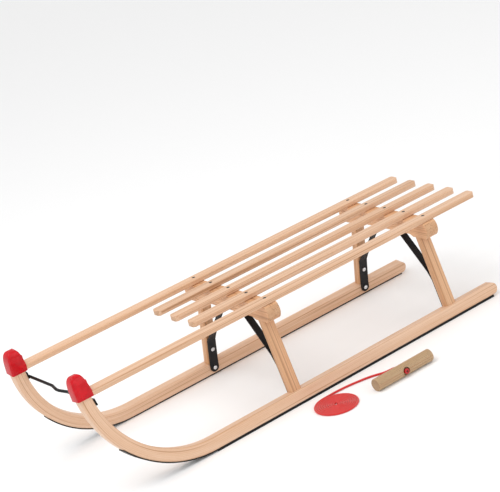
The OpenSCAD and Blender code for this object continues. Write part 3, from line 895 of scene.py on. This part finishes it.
def cap_block():
    """A thin block with rounded upright corners, the cap's start."""
    bpy.ops.object.select_all(action="DESELECT")
    middle = (cap_back + cap_front) / 2
    bpy.ops.mesh.primitive_cube_add(size=1, location=(middle, 0, cap_low + 0.5 * MM))
    block = bpy.context.object
    block.scale = (cap_front - cap_back, 2 * cap_half, 1 * MM)
    apply_place(block)
    edit(block, "EDGE")
    leave_edit()
    for edge in block.data.edges:
        a, b = (block.data.vertices[i].co for i in edge.vertices)
        edge.select = abs(a.z - b.z) > 0.5 * MM
    bpy.ops.object.mode_set(mode="EDIT")
    bpy.ops.mesh.bevel(offset=cap_corner, segments=6, affect="EDGES")
    return block


def grow_cap(block):
    """Extrudes the top in rings, hollows the bottom and eases the lower rim."""
    pick_faces(block, lambda centre, normal: normal.z > 0.9)
    height = 1 * MM
    back, front, half = cap_back, cap_front, cap_half
    for up, new_back, new_front, new_half in cap_rings:
        rise = up * MM - height
        slide = (new_back + new_front) / 2 * MM - (back + front) / 2
        bpy.ops.mesh.extrude_region_move(TRANSFORM_OT_translate={"value": (slide, 0, rise)})
        length_ratio = (new_front - new_back) * MM / (front - back)
        width_ratio = new_half * MM / half
        centre = ((new_back + new_front) / 2 * MM, 0, cap_low + up * MM)
        bpy.ops.transform.resize(value=(length_ratio, width_ratio, 1), center_override=centre)
        height = up * MM
        back, front, half = new_back * MM, new_front * MM, new_half * MM
    pick_faces(block, lambda centre, normal: normal.z < -0.9)
    bpy.ops.mesh.inset(thickness=cap_wall, depth=0)
    deeper = (hollow_slide, 0, hollow_depth)
    bpy.ops.mesh.extrude_region_move(TRANSFORM_OT_translate={"value": deeper})
    bpy.ops.transform.resize(value=(hollow_taper, 1, 1), center_override=(cap_front, 0, cap_low))
    bpy.ops.mesh.select_all(action="SELECT")
    bpy.ops.mesh.normals_make_consistent(inside=False)
    leave_edit()
    apply_modifier(block, "BEVEL", width=0.5 * MM, segments=3, limit_method="ANGLE",
                   angle_limit=math.radians(50))
    return block


def grip_ribs():
    """Three rounded ribs on each side face, near the lower edge."""
    ribs = []
    for side in (1, -1):
        for level in rib_levels:
            bpy.ops.object.select_all(action="DESELECT")
            bpy.ops.mesh.primitive_cube_add(
                size=1, location=(rib_middle, side * (cap_half + 0.05 * MM), cap_low + level * MM))
            rib = bpy.context.object
            rib.scale = (20 * MM, 0.8 * MM, 1.1 * MM)
            apply_place(rib)
            apply_modifier(rib, "BEVEL", width=0.36 * MM, segments=3)
            ribs.append(rib)
    return ribs


cap_model = join([grow_cap(cap_block())] + grip_ribs(), "cap_model")
smooth(cap_model, 55)
print("cap faces:", len(cap_model.data.polygons))

# %% Put the caps on the horns
for node, side in (("left_horn_cap", 1), ("right_horn_cap", -1)):
    cap = duplicate(cap_model, node + "_moulded")
    lean = Matrix.Rotation(side * runner_lean, 4, "X")
    cap.matrix_world = Matrix.Translation((0, side * half_track, lean_drop)) @ lean
    apply_place(cap)
    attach(cap, "sled")
    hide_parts(node)
bpy.data.objects.remove(cap_model)
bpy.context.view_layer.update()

# %% [markdown]
# ## Red plastic
#
# The caps are glossy soft plastic. Their colour is almost even, with slow cloudy changes from the
# mould, and a very fine texture breaks the highlights so that they don't look like glass.

# %% Make the plastic
red_plastic, tree, shader = new_material("glossy red plastic")
place = add(tree, "ShaderNodeTexCoord")
clouds = add(tree, "ShaderNodeTexNoise", sockets={
    "Vector": place.outputs["Object"], "Scale": 90.0, "Detail": 3.0})
grain_fine = add(tree, "ShaderNodeTexNoise", sockets={
    "Vector": place.outputs["Object"], "Scale": 1500.0, "Detail": 2.0})
plastic_colour = blend_colours(tree, spread(tree, clouds.outputs["Fac"], 0.3, 0.7),
                               (0.60, 0.004, 0.011, 1), (0.46, 0.003, 0.008, 1))
tree.links.new(plastic_colour, shader.inputs["Base Color"])
tree.links.new(spread(tree, grain_fine.outputs["Fac"], 0.3, 0.7, 0.16, 0.28),
               shader.inputs["Roughness"])
plastic_bump = add(tree, "ShaderNodeBump", sockets={
    "Height": clouds.outputs["Fac"], "Strength": 0.25, "Distance": 0.4 * MM})
tree.links.new(plastic_bump.outputs[0], shader.inputs["Normal"])
shader.inputs["Coat Weight"].default_value = 0.1
shader.inputs["Coat Roughness"].default_value = 0.15
shader.inputs["Specular IOR Level"].default_value = 0.22
for node in ("left_horn_cap", "right_horn_cap"):
    finish_piece(bpy.data.objects[node + "_moulded"], red_plastic)

# %% [markdown]
# ## Red braid
#
# The rope's UV map runs round it and along it, so the strands can be drawn with two crossing
# waves that match the relief of the tube. The hollows between the strands are darkened as painted
# shade, and each strand shows its fine yarns with painted shade in the grooves between them. The
# sheen of the fibres is a number on the shader's own socket.

# %% Make the rope materials
# The second colour is painted shade for the hollows between the strands.
braid, given, result = new_group(
    "braided strands",
    {"UV": ("NodeSocketVector", None), "Bright": ("NodeSocketColor", (0.7, 0.02, 0.02, 1)),
     "Deep": ("NodeSocketColor", (0.2, 0.0, 0.0, 1))},
    {"Color": "NodeSocketColor", "Height": "NodeSocketFloat"})
split = add(braid, "ShaderNodeSeparateXYZ", sockets={0: given.outputs["UV"]})
round_turn = maths(braid, "MULTIPLY", split.outputs[0], math.pi * bumps_round)
length_turn = maths(braid, "MULTIPLY", split.outputs[1], math.pi)
left_strand = maths(braid, "COSINE", maths(braid, "ADD", round_turn, length_turn))
right_strand = maths(braid, "COSINE", maths(braid, "SUBTRACT", round_turn, length_turn))
crossing = maths(braid, "ABSOLUTE", maths(braid, "MULTIPLY", left_strand, right_strand))
bump_top = maths(braid, "POWER", crossing, 0.5)
yarn_turn = maths(braid, "ADD", maths(braid, "MULTIPLY", round_turn, 7.0),
                  maths(braid, "MULTIPLY", length_turn, 5.0))
yarns = maths(braid, "MULTIPLY_ADD", maths(braid, "SINE", yarn_turn), 0.5, 0.5)
# Where the strands dip and between the yarns, the colour moves towards the painted shade.
braid_amount = maths(braid, "MULTIPLY_ADD", yarns, -0.18, spread(braid, bump_top, 0.1, 0.75))
braid_colour = blend_colours(braid, braid_amount, given.outputs["Deep"], given.outputs["Bright"])
braid.links.new(braid_colour, result.inputs["Color"])
braid.links.new(maths(braid, "MULTIPLY_ADD", yarns, 0.35, bump_top), result.inputs["Height"])

red_rope, tree, shader = new_material("red braided rope")
strand_map = add(tree, "ShaderNodeUVMap", uv_map="braid")
# The deep red is painted shade for the hollows.
strands = add(tree, "ShaderNodeGroup", node_tree=braid, sockets={
    "UV": strand_map.outputs[0], "Bright": (0.78, 0.012, 0.008, 1),
    "Deep": (0.33, 0.002, 0.002, 1)})
rope_bump = add(tree, "ShaderNodeBump", sockets={
    "Height": strands.outputs["Height"], "Strength": 0.5, "Distance": 0.12 * MM})
place = add(tree, "ShaderNodeTexCoord")
fuzz = add(tree, "ShaderNodeTexNoise", sockets={
    "Vector": place.outputs["Object"], "Scale": 900.0, "Detail": 3.0})
tree.links.new(strands.outputs["Color"], shader.inputs["Base Color"])
tree.links.new(spread(tree, fuzz.outputs["Fac"], 0.3, 0.7, 0.5, 0.7), shader.inputs["Roughness"])
tree.links.new(rope_bump.outputs[0], shader.inputs["Normal"])
shader.inputs["Sheen Weight"].default_value = 0.35
finish_piece(rope, red_rope)


def melted_material(name, first, second, scale, low, high):
    """Rope that was melted: shiny, with cloudy colour and a wrinkled skin."""
    material, tree, shader = new_material(name)
    place = add(tree, "ShaderNodeTexCoord")
    cloud = add(tree, "ShaderNodeTexNoise", sockets={
        "Vector": place.outputs["Object"], "Scale": scale, "Detail": 4.0, "Distortion": 0.6})
    colour = blend_colours(tree, spread(tree, cloud.outputs["Fac"], 0.35, 0.65), first, second)
    skin = add(tree, "ShaderNodeBump", sockets={
        "Height": cloud.outputs["Fac"], "Strength": 0.6, "Distance": 0.5 * MM})
    tree.links.new(colour, shader.inputs["Base Color"])
    tree.links.new(spread(tree, cloud.outputs["Fac"], 0.3, 0.7, low, high),
                   shader.inputs["Roughness"])
    tree.links.new(skin.outputs[0], shader.inputs["Normal"])
    return material


finish_piece(knot, melted_material("sealed red rope", (0.62, 0.008, 0.008, 1),
                                   (0.25, 0.002, 0.003, 1), 420.0, 0.18, 0.4))
finish_piece(melted_end, melted_material("melted rope end", (0.004, 0.035, 0.028, 1),
                                         (0.006, 0.010, 0.010, 1), 700.0, 0.12, 0.3))
print("rope materials made:", 3)

# %% [markdown]
# ## Floor and light
#
# A plain white floor and a pale surrounding give the even light of a catalogue studio. One large
# soft lamp from the upper left models the edges, and a weaker one opens the shadows.

# %% Set the stage
bpy.ops.object.select_all(action="DESELECT")
bpy.ops.mesh.primitive_plane_add(size=60, location=(0, 0, 0))
floor = bpy.context.object
floor.name = "floor"
floor_paint, tree, shader = new_material("pale studio floor")
shader.inputs["Base Color"].default_value = (0.93, 0.93, 0.93, 1)
shader.inputs["Roughness"].default_value = 0.9
floor.data.materials.append(floor_paint)

world = bpy.data.worlds.new("studio")
world.use_nodes = True
world.node_tree.nodes["Background"].inputs["Color"].default_value = (1, 1, 1, 1)
world.node_tree.nodes["Background"].inputs["Strength"].default_value = 0.9
scene.world = world
scene.view_settings.view_transform = "Standard"


def soft_lamp(name, place, target, size, power):
    """A large square lamp that looks at a point."""
    data = bpy.data.lights.new(name, "AREA")
    data.size = size
    data.energy = power
    lamp = bpy.data.objects.new(name, data)
    lamp.location = place
    lamp.rotation_euler = (Vector(target) - Vector(place)).to_track_quat("-Z", "Y").to_euler()
    scene.collection.objects.link(lamp)


soft_lamp("key", (1.2, 0.2, 2.6), (0, 0, 0.1), 1.6, 30)
soft_lamp("fill", (-1.2, 2.6, 1.4), (0, 0, 0.1), 2.0, 10)
